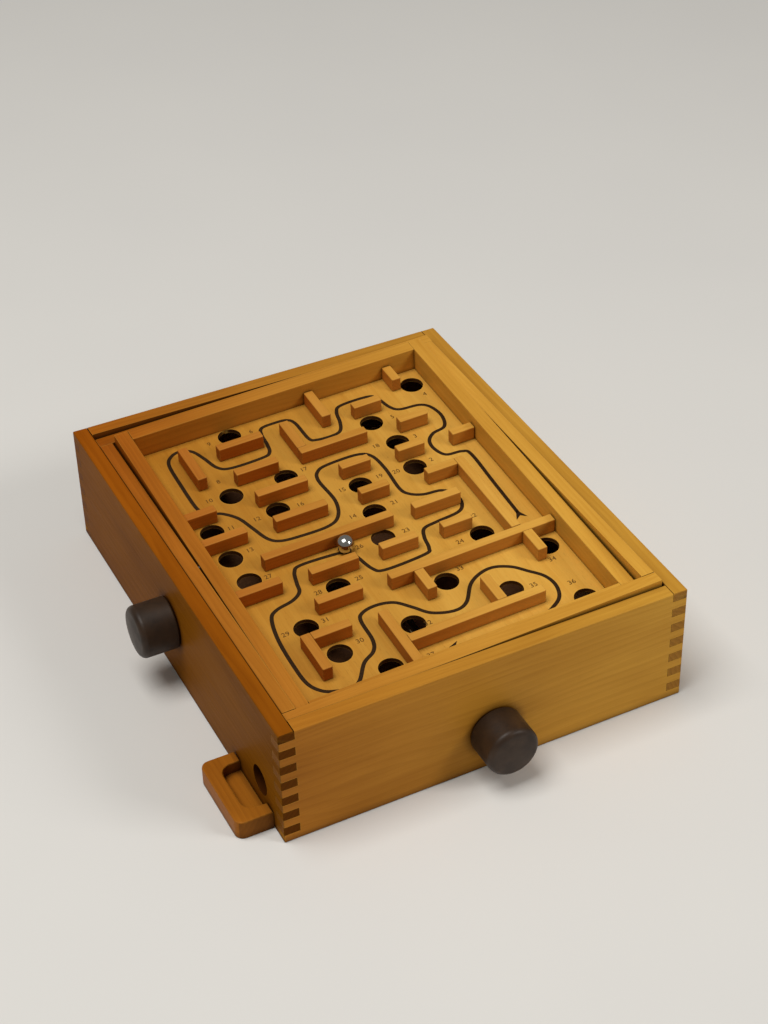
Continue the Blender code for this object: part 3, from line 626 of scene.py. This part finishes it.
def paint_grain(bm, axis, seed, place, end_strength):
    """Stores where each corner sits in the wood, how strongly each face shows end grain, and the orange
    painted shade.
    """
    draw = random.Random(seed)
    offset = Vector((draw.uniform(-900, 900), draw.uniform(-35, 35), draw.uniform(28, 95)))
    others = [number for number in range(3) if number != axis]
    grain = bm.loops.layers.float_vector.new("grain")
    warmth_and_shade_layer = bm.loops.layers.float.new("warmth_and_shade")
    end = bm.faces.layers.float.new("end")
    bm.normal_update()
    for face in bm.faces:
        face[end] = end_strength if abs(face.normal[axis]) > FACING else 0.0
        for loop in face.loops:
            spot = loop.vert.co / MM
            loop[grain] = Vector((spot[axis], spot[others[0]], spot[others[1]])) + offset
            loop[warmth_and_shade_layer] = warmth_at(place @ loop.vert.co)


def new_piece(name, bm, mat):
    """A shown piece with its finish, shaded smooth between its creases."""
    mesh = bpy.data.meshes.new(name)
    bm.to_mesh(mesh)
    bm.free()
    mesh.materials.append(mat)
    mesh.shade_smooth()
    mesh.set_sharp_from_angle(angle=CREASE_ANGLE)
    piece = bpy.data.objects.new(name, mesh)
    bpy.context.scene.collection.objects.link(piece)
    return piece


def finish_piece(name, bm, place, mat, body, nodes=()):
    """Turns a mesh in a piece's own frame into a shown piece that rides on its body."""
    bmesh.ops.transform(bm, matrix=place, verts=bm.verts)
    piece = new_piece(name, bm, mat)
    weighted = piece.modifiers.new("flat_faces", "WEIGHTED_NORMAL")
    weighted.keep_sharp = True
    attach(piece, body)
    if nodes:
        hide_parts(*nodes)


def wooden(node, place, body, mat, width, chosen, seed, end_strength, axis=None, is_wall=False):
    """A wooden piece with the CAD node's shape and softened edges. chosen picks the edges to round."""
    low, high = local_box(node, place)
    along = long_axis(low, high) if axis is None else axis
    bm = flattened(node, place)
    soften(bm, [edge for edge in bm.edges if is_crease(edge) and chosen(edge, high, along)], width)
    paint_grain(bm, along, seed, place, end_strength)
    if is_wall:
        tone_wall(bm, low, high)
    finish_piece(node + "_finished", bm, place, mat, body, (node,))


# Box and frames. Each test that picks edges to round takes the edge, the piece's highest corner and the
# axis along the piece, whether or not it needs them all.

def box_corners():
    """The whole box's lowest and highest corner in its own frame."""
    front_low = local_box("front_wall", BOX_FRAME)[0]
    left_low, left_high = local_box("left_wall", BOX_FRAME)
    right_high = local_box("right_wall", BOX_FRAME)[1]
    return Vector((left_low.x, left_low.y, front_low.z)), Vector((right_high.x, right_high.y, left_high.z))


def wall_thickness():
    """How thick the box's walls are."""
    low, high = local_box("front_wall", BOX_FRAME)
    return high.y - low.y


BOX_LOW, BOX_HIGH = box_corners()
WALL_THICKNESS = wall_thickness()


def middle(edge):
    """The middle of an edge."""
    return (edge.verts[0].co + edge.verts[1].co) / 2


def on_box_edge(edge, high, along):
    """An outer edge of the box, or an inner edge of its rim that runs along the wall."""
    point = middle(edge)
    at_rim = abs(point.z - BOX_HIGH.z) < SAME_PLACE or abs(point.z - BOX_LOW.z) < SAME_PLACE
    at_sides = [abs(abs(point[axis]) - BOX_HIGH[axis]) < SAME_PLACE for axis in (0, 1)]
    across = 1 - along
    inner = abs(abs(point[across]) - BOX_HIGH[across] + WALL_THICKNESS) < SAME_PLACE
    return all(at_sides) or at_rim and (any(at_sides) or inner)


def on_long_edge(edge, high, along):
    """An edge that runs along the piece."""
    run = edge.verts[1].co - edge.verts[0].co
    return run.length > LEAST_EDGE and abs(run[along]) > FACING * run.length


def on_top_edge(edge, high, along):
    """An upper rim, outside or in a pocket."""
    return all(abs(vert.co.z - high.z) < SAME_PLACE for vert in edge.verts)


def tone_wall(bm, low, high):
    """Paints shade on a wall's bores and inner face, and makes the sides of the left and right walls less
    orange and less shaded.
    """
    end = bm.faces.layers.float["end"]
    warmth_and_shade_layer = bm.loops.layers.float["warmth_and_shade"]
    inside = bm.faces.layers.float.new("inside")
    thin = min(range(3), key=lambda axis: high[axis] - low[axis])
    for face in bm.faces:
        spot = face.calc_center_median()
        clear_of_rim = all(
            low[axis] + BORE_INSET[axis] < spot[axis] < high[axis] - BORE_INSET[axis]
            for axis in range(3) if axis != thin
        )
        # Bores show end grain and get painted shade; inner faces get painted shade.
        if clear_of_rim and abs(face.normal[thin]) < FACING:
            face[end] = HOLE_WALL_END
            face[inside] = BORE_SHADE
        elif face.normal[thin] * spot[thin] < 0 and abs(face.normal[thin]) > FACING:
            face[inside] = INNER_FACE_SHADE
        # The sides of the left and right walls get less of the orange painted shade.
        if thin == 0 and face.normal.z < FACING:
            for loop in face.loops:
                loop[warmth_and_shade_layer] *= SIDE_WALL_SHADE_SCALE


def build_box():
    """Four walls, the catch tray, and the battens of the return floor."""
    for seed, (node, mat, end_strength) in enumerate((
        ("front_wall", BOX_WOOD, CROSS_WALL_END), ("back_wall", BOX_WOOD, CROSS_WALL_END),
        ("left_wall", SHADED_LEFT_WOOD, SIDE_WALL_END), ("right_wall", BOX_WOOD, SIDE_WALL_END),
    ), WALL_SEED):
        wooden(
            node, BOX_FRAME, "box", mat, WALL_EDGE, on_box_edge, seed, end_strength, is_wall=True
        )
    wooden(
        "catch_tray", BOX_FRAME, "box", BOX_WOOD, CATCH_EDGE, on_top_edge, CATCH_SEED, CATCH_END,
        axis=1,
    )
    for seed, node in enumerate(("left_batten", "right_batten"), BATTEN_SEED):
        wooden(node, BOX_FRAME, "box", BOX_WOOD, BAR_EDGE, on_long_edge, seed, BAR_END)


def build_frames():
    """The gimbal's and the tray's bars."""
    seed = BAR_SEED
    for prefix, place, body in (("gimbal", GIMBAL_FRAME, "gimbal"), ("tray", TRAY_FRAME, "maze_tray")):
        for side in ("front", "back", "left", "right"):
            node = f"{prefix}_{side}_bar"
            wooden(node, place, body, FRAME_WOOD, BAR_EDGE, on_long_edge, seed, BAR_END)
            seed += 1


# Board and strips

def is_hole_rim(edge, low, high):
    """A part of a ball hole's rim, and not of the board's outline."""
    point = middle(edge)
    inside = all(low[axis] + HOLE_INSET < point[axis] < high[axis] - HOLE_INSET for axis in (0, 1))
    return inside and abs(edge.verts[0].co.z - edge.verts[1].co.z) < SAME_PLACE


def build_board():
    """The playing board, with its edges and hole walls dark from the saw and the drill."""
    node = "maze_board"
    low, high = local_box(node, TRAY_FRAME)
    bm = flattened(node, TRAY_FRAME)
    soften(bm, [edge for edge in bm.edges if is_crease(edge) and is_hole_rim(edge, low, high)], BOARD_RIM)
    paint_grain(bm, 1, BOARD_SEED, TRAY_FRAME, HOLE_WALL_END)
    end = bm.faces.layers.float["end"]
    for face in bm.faces:
        face[end] = HOLE_WALL_END if abs(face.normal.z) < FACING else 0.0
    finish_piece("maze_board_finished", bm, TRAY_FRAME, BOARD_WOOD, "maze_tray", (node,))


def end_width(points, along, end):
    """How wide a strip is at one end, and the lowest and highest place of that end across the strip."""
    values = [point[1 - along] for point in points if abs(point[along] - end) < SAME_PLACE]
    return max(values) - min(values), min(values), max(values)


def stub_groups(points, along, bar_low, bar_high, reach):
    """The corners beyond the main bar's sides, in one group for each stub. A stub is less than reach wide."""
    across = 1 - along
    outside = [
        point for point in points
        if point[across] < bar_low - SAME_PLACE or point[across] > bar_high + SAME_PLACE
    ]
    groups = []
    for point in sorted(outside, key=lambda point: point[along]):
        if not groups or point[along] - groups[-1][0][along] > reach:
            groups.append([])
        groups[-1].append(point)
    return groups


def stub_corners(group, low, high, along, bar_low, bar_high):
    """One stub: from the main bar's far side to its own end, or right across the main bar's end."""
    across = 1 - along
    stub_low = low.copy()
    stub_high = high.copy()
    stub_low[along] = min(point[along] for point in group)
    stub_high[along] = max(point[along] for point in group)
    stub_low[across] = min(bar_high, min(point[across] for point in group))
    stub_high[across] = max(bar_low, max(point[across] for point in group))
    return stub_low, stub_high


def strip_bars(node):
    """A strip's main bar and its stubs as (low, high, axis), worked out from the CAD node's corners."""
    points = local_points(node, TRAY_FRAME)
    low, high = local_box(node, TRAY_FRAME)
    along = long_axis(low, high)
    across = 1 - along
    width, bar_low, bar_high = min(end_width(points, along, end) for end in (low[along], high[along]))
    main_low = low.copy()
    main_high = high.copy()
    main_low[across] = bar_low
    main_high[across] = bar_high
    stubs = []
    for group in stub_groups(points, along, bar_low, bar_high, 2 * width):
        stub_low, stub_high = stub_corners(group, low, high, along, bar_low, bar_high)
        stubs.append((stub_low, stub_high, across))
        if stub_low[across] < bar_low and stub_high[across] > bar_high:
            main_low[along] = max(main_low[along], stub_high[along])
    return [(main_low, main_high, along)] + stubs


def rounded_bar(low, high, width):
    """A bar with rounded edges, as a new mesh."""
    bm = bmesh.new()
    placed = Matrix.Translation((low + high) / 2) @ Matrix.Diagonal((*(high - low), 1))
    bmesh.ops.create_cube(bm, size=1, matrix=placed)
    soften(bm, bm.edges[:], width)
    return bm


def warm_sawn_sides(bm):
    """Paints the sides of a strip more orange and darker than its top, as painted shade."""
    warmth_and_shade_layer = bm.loops.layers.float["warmth_and_shade"]
    for face in bm.faces:
        if face.normal.z < FACING:
            for loop in face.loops:
                loop[warmth_and_shade_layer] = min(1.0, loop[warmth_and_shade_layer] + STRIP_SIDE_SHADE)


def build_strip(node, seed):
    """A maze strip made of one bar and any stubs glued against it, each with its own grain."""
    joined = bmesh.new()
    for number, (low, high, axis) in enumerate(strip_bars(node)):
        bm = rounded_bar(low, high, STRIP_EDGE)
        paint_grain(bm, axis, seed + number, TRAY_FRAME, STRIP_END)
        warm_sawn_sides(bm)
        mesh = bpy.data.meshes.new("bar")
        bm.to_mesh(mesh)
        bm.free()
        joined.from_mesh(mesh)
        bpy.data.meshes.remove(mesh)
    finish_piece(node + "_finished", joined, TRAY_FRAME, STRIP_WOOD, "maze_tray", (node,))


def build_strips():
    """All the maze strips."""
    names = sorted(name for name in frame["nodes"] if name.startswith("maze_strip_"))
    for number, name in enumerate(names):
        build_strip(name, STRIP_SEED + SEEDS_PER_STRIP * number)


# Print

def ink_bottom():
    """The height in the tray's frame at which the print starts, just clear of the board."""
    return local_box("maze_board", TRAY_FRAME)[1].z + INK_LIFT


def smooth_line(points):
    """A smooth line through points, as a Catmull-Rom curve."""
    padded = [2 * points[0] - points[1]] + points + [2 * points[-1] - points[-2]]
    line = []
    for before, start, end, after in zip(padded, padded[1:], padded[2:], padded[3:]):
        for step in range(LINE_STEPS):
            t = step / LINE_STEPS
            line.append(0.5 * (
                2 * start
                + (end - before) * t
                + (2 * before - 5 * start + 4 * end - after) * t ** 2
                + (3 * start - before - 3 * end + after) * t ** 3
            ))
    line.append(points[-1])
    return line


def add_slab(bm, outline, bottom, top):
    """A closed flat slab over an outline."""
    lower = [bm.verts.new((point.x, point.y, bottom)) for point in outline]
    upper = [bm.verts.new((point.x, point.y, top)) for point in outline]
    bm.faces.new(list(reversed(lower)))
    bm.faces.new(upper)
    count = len(outline)
    for index in range(count):
        after = (index + 1) % count
        bm.faces.new((lower[index], lower[after], upper[after], upper[index]))


def add_ribbon(bm, line, width, bottom, top):
    """A closed flat ribbon along a line."""
    rows = []
    for index, point in enumerate(line):
        ahead = line[min(index + 1, len(line) - 1)]
        behind = line[max(index - 1, 0)]
        along = (ahead - behind).normalized()
        side = Vector((-along.y, along.x)) * width / 2
        left = point + side
        right = point - side
        rows.append([
            bm.verts.new((left.x, left.y, bottom)), bm.verts.new((right.x, right.y, bottom)),
            bm.verts.new((right.x, right.y, top)), bm.verts.new((left.x, left.y, top)),
        ])
    for row, following in zip(rows, rows[1:]):
        for index in range(4):
            after = (index + 1) % 4
            bm.faces.new((row[index], row[after], following[after], following[index]))
    bm.faces.new(list(reversed(rows[0])))
    bm.faces.new(rows[-1])


def arrow_outline(tip, towards):
    """A notched arrowhead that ends at tip and points in the direction towards."""
    side = Vector((-towards.y, towards.x))
    base = tip - towards * ARROW_LENGTH
    return [tip, base + side * ARROW_HALF_WIDTH, base + towards * ARROW_NOTCH, base - side * ARROW_HALF_WIDTH]


def build_line():
    """The printed line, with an arrowhead at its start and another at the finish. Returns its points."""
    bottom = ink_bottom()
    top = bottom + INK_THICKNESS
    line = smooth_line([Vector(point) * MM for point in PATH])
    bm = bmesh.new()
    add_ribbon(bm, line, LINE_WIDTH, bottom, top)
    start_way = (line[1] - line[0]).normalized()
    add_slab(bm, arrow_outline(line[0] + start_way * ARROW_NOTCH, start_way), bottom, top)
    finish_way = (line[-1] - line[-2]).normalized()
    add_slab(bm, arrow_outline(line[-1] + finish_way * ARROW_LENGTH, finish_way), bottom, top)
    bmesh.ops.recalc_face_normals(bm, faces=bm.faces)
    finish_piece("printed_line", bm, TRAY_FRAME, LINE_INK, "maze_tray")
    return line


def number_mesh(text):
    """A number as a flat closed mesh, centred on its origin."""
    curve = bpy.data.curves.new("number", "FONT")
    curve.body = text
    curve.size = NUMBER_SIZE
    curve.align_x = "CENTER"
    curve.align_y = "CENTER"
    curve.extrude = INK_THICKNESS / 2
    curve.resolution_u = NUMBER_CURVE_STEPS
    holder = bpy.data.objects.new("number", curve)
    bpy.context.scene.collection.objects.link(holder)
    bpy.context.view_layer.update()
    mesh = bpy.data.meshes.new_from_object(holder.evaluated_get(bpy.context.evaluated_depsgraph_get()))
    bpy.data.objects.remove(holder)
    bpy.data.curves.remove(curve)
    return mesh


def nearest_step(line, place):
    """Which of a line's points is nearest to a place."""
    return min(range(len(line)), key=lambda step: (line[step] - place).length)


def build_numbers(line):
    """Small numbers beside the holes, counted along the line."""
    height = ink_bottom() + INK_THICKNESS / 2
    places = [Vector(point) * MM for point in NUMBER_PLACES]
    places.sort(key=lambda place: nearest_step(line, place))
    bm = bmesh.new()
    for number, place in enumerate(places, 1):
        mesh = number_mesh(str(number))
        mesh.transform(Matrix.Translation((place.x, place.y, height)))
        bm.from_mesh(mesh)
        bpy.data.meshes.remove(mesh)
    bmesh.ops.remove_doubles(bm, verts=bm.verts, dist=WELD)
    finish_piece("printed_numbers", bm, TRAY_FRAME, NUMBER_INK, "maze_tray")


# Knobs and ball

def arc(centre_x, centre_z, radius, start, end):
    """Points on an arc between two angles in degrees."""
    points = []
    for step in range(ROUND_STEPS + 1):
        angle = math.radians(start + (end - start) * step / ROUND_STEPS)
        points.append((centre_x + radius * math.cos(angle), centre_z + radius * math.sin(angle)))
    return points


def knob_profile(radius, length):
    """Half outline of a knob, from its domed nose to the bore in its heel."""
    points = [(0, length)]
    nose_x = radius - KNOB_NOSE_ROUND
    nose_z = length - KNOB_DOME - KNOB_NOSE_ROUND
    for step in range(1, ROUND_STEPS):
        share = step / ROUND_STEPS
        points.append((nose_x * share, length - KNOB_DOME * share ** 2))
    points += arc(nose_x, nose_z, KNOB_NOSE_ROUND, 90, 0)
    points += arc(radius - KNOB_HEEL_ROUND, KNOB_HEEL_ROUND, KNOB_HEEL_ROUND, 0, -90)
    points += [(KNOB_BORE, 0), (KNOB_BORE, KNOB_BORE_DEPTH), (0, KNOB_BORE_DEPTH)]
    return points


def build_knob(node, axis):
    """A turned knob whose heel faces the wall. axis is 0 or 1 for a shaft along X or Y."""
    low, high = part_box(node)
    heel = (low + high) / 2
    heel[axis] = high[axis]
    out = along_axis(axis, -1)
    up = Vector((0, 0, 1))
    level = up.cross(out)
    x_axis, y_axis = (level, up) if axis == 1 else (up, -level)
    bm = bmesh.new()
    profile = [bm.verts.new((x, 0, z)) for x, z in knob_profile((high.z - low.z) / 2, high[axis] - low[axis])]
    edges = [bm.edges.new(pair) for pair in zip(profile, profile[1:])]
    bmesh.ops.spin(
        bm, geom=profile + edges, axis=(0, 0, 1), cent=(0, 0, 0), angle=2 * math.pi, steps=KNOB_SIDES,
        use_merge=True,
    )
    bmesh.ops.remove_doubles(bm, verts=bm.verts, dist=WELD)
    bmesh.ops.recalc_face_normals(bm, faces=bm.faces)
    place = axes_matrix(heel, x_axis, y_axis, out)
    finish_piece(node + "_turned", bm, place, LACQUER, node, (node,))


def build_ball():
    """The polished steel ball."""
    low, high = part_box("steel_ball")
    bm = bmesh.new()
    bmesh.ops.create_uvsphere(bm, u_segments=BALL_SIDES, v_segments=BALL_RINGS, radius=(high.z - low.z) / 2)
    place = Matrix.Translation((low + high) / 2)
    finish_piece("steel_ball_polished", bm, place, CHROME, "ball", ("steel_ball",))


# Cords

def cord_part(name, node, axis, start, end):
    """The part of a CAD cord between two planes across an axis, closed where cut. None doesn't cut."""
    bm = bmesh.new()
    bm.from_mesh(frame["nodes"][node].data)
    bmesh.ops.remove_doubles(bm, verts=bm.verts, dist=WELD)
    for plane, kept_side in ((start, 1), (end, -1)):
        if plane is not None:
            bmesh.ops.bisect_plane(
                bm, geom=bm.verts[:] + bm.edges[:] + bm.faces[:], plane_co=along_axis(axis, plane),
                plane_no=along_axis(axis, kept_side), clear_inner=True,
            )
            bmesh.ops.holes_fill(bm, edges=[edge for edge in bm.edges if edge.is_boundary])
    piece = new_piece(name, bm, CORD)
    return piece


def build_run(node, side, axis, chain, shaft_middle, begin, end):
    """A cord's free run from its winding at begin to its far end, with one part for each joint it crosses.

    chain names the bodies from the box to the frame that the cord pulls.
    """
    count = len(chain) - 1
    stops = [begin + (end - begin) * share / count for share in range(count + 1)]
    for number, (start, stop) in enumerate(zip(stops, stops[1:]), 1):
        cuts = (start, None if number == count else stop)
        if end < begin:
            cuts = cuts[::-1]
        part = cord_part(f"{node}_{side}_run_{number}", node, axis, *cuts)
        start_point = shaft_middle.copy()
        start_point[axis] = start
        end_point = shaft_middle.copy()
        end_point[axis] = stop
        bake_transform(part, chain[number - 1], chain[number], start=start_point, end=end_point)


def build_cords():
    """Each cord's winding stays in place round its shaft, and its free runs bend with the frame they pull."""
    for node, shaft, axis, chain in (
        ("gimbal_cord", "front_shaft", 0, ("box", "gimbal")),
        ("tray_cord", "side_shaft", 1, ("box", "gimbal", "maze_tray")),
    ):
        shaft_low, shaft_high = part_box(shaft)
        cord_low, cord_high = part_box(node)
        shaft_middle = (shaft_low + shaft_high) / 2
        winding_middle = (shaft_low[axis] + shaft_high[axis]) / 2
        near = winding_middle - WINDING_HALF
        far = winding_middle + WINDING_HALF
        winding = cord_part(node + "_winding", node, axis, near, far)
        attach(winding, "box")
        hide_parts(node)
        build_run(node, "near", axis, chain, shaft_middle, near, cord_low[axis])
        build_run(node, "far", axis, chain, shaft_middle, far, cord_high[axis])


# Metal pieces and the return floor keep their CAD shape and get their finish

def paint_cad(mat, *nodes):
    """Gives CAD nodes their finish."""
    for node in nodes:
        for slot in frame["nodes"][node].material_slots:
            slot.material = mat


def paint_inner_pieces():
    """Shafts, pivot pins, springs and the return floor."""
    paint_cad(STEEL, "front_shaft", "side_shaft")
    paint_cad(STEEL, "gimbal_front_pin", "gimbal_back_pin", "tray_left_pin", "tray_right_pin")
    paint_cad(SPRING_STEEL, "gimbal_spring", "tray_spring")
    paint_cad(HARDBOARD, "return_floor")


# Studio

def floor_material():
    """Pale matt floor with the faintest mottling."""
    mat, tree, shader = new_material("studio_floor")
    colour = mix(tree, object_noise(tree, 5), srgb(224, 223, 220), srgb(219, 218, 216))
    set_surface(tree, shader, colour, 0.85)
    return mat


def build_floor():
    """A wide plain floor."""
    mesh = bpy.data.meshes.new("studio_floor")
    corners = [(x * FLOOR_REACH, y * FLOOR_REACH, 0) for x, y in ((-1, -1), (1, -1), (1, 1), (-1, 1))]
    mesh.from_pydata(corners, [], [(0, 1, 2, 3)])
    mesh.materials.append(floor_material())
    floor = bpy.data.objects.new("studio_floor", mesh)
    bpy.context.scene.collection.objects.link(floor)


def add_light(name, place, size, watts, colour):
    """A square soft box at place, turned towards the game."""
    light = bpy.data.lights.new(name, "AREA")
    light.shape = "SQUARE"
    light.size = size
    light.energy = watts
    light.color = colour
    holder = bpy.data.objects.new(name, light)
    holder.location = place
    holder.rotation_euler = (LIGHT_AIM - Vector(place)).to_track_quat("-Z", "Y").to_euler()
    bpy.context.scene.collection.objects.link(holder)


def build_lights():
    """A large soft key high on the left, a weaker fill from the front right, and pale surroundings."""
    add_light("key", (-0.75, -0.05, 2.5), 1.4, 46, (1.0, 0.98, 0.94))
    add_light("fill", (1.5, -1.6, 1.6), 0.8, 21, (1.0, 0.98, 0.95))
    world = bpy.data.worlds.new("studio")
    bpy.context.scene.world = world
    world.use_nodes = True
    background = world.node_tree.nodes["Background"]
    background.inputs["Color"].default_value = srgb(242, 237, 229)
    background.inputs["Strength"].default_value = SURROUNDINGS_STRENGTH


def build_camera():
    """A camera that looks down on the game from the front left."""
    data = bpy.data.cameras.new("camera")
    data.lens = VIEW_LENS
    data.shift_x, data.shift_y = VIEW_SHIFT
    camera = bpy.data.objects.new("camera", data)
    flat = math.cos(VIEW_ELEVATION)
    back = Vector((
        math.sin(VIEW_AZIMUTH) * flat,
        -math.cos(VIEW_AZIMUTH) * flat,
        math.sin(VIEW_ELEVATION),
    ))
    camera.location = BOX_FRAME @ VIEW_AIM + back * VIEW_DISTANCE
    camera.rotation_euler = (-back).to_track_quat("-Z", "Y").to_euler()
    bpy.context.scene.collection.objects.link(camera)
    bpy.context.scene.camera = camera


build_box()
build_frames()
build_board()
build_strips()
build_numbers(build_line())
build_knob("front_knob", 1)
build_knob("side_knob", 0)
build_ball()
build_cords()
paint_inner_pieces()
build_floor()
build_lights()
build_camera()
bpy.context.scene.view_settings.view_transform = "Standard"
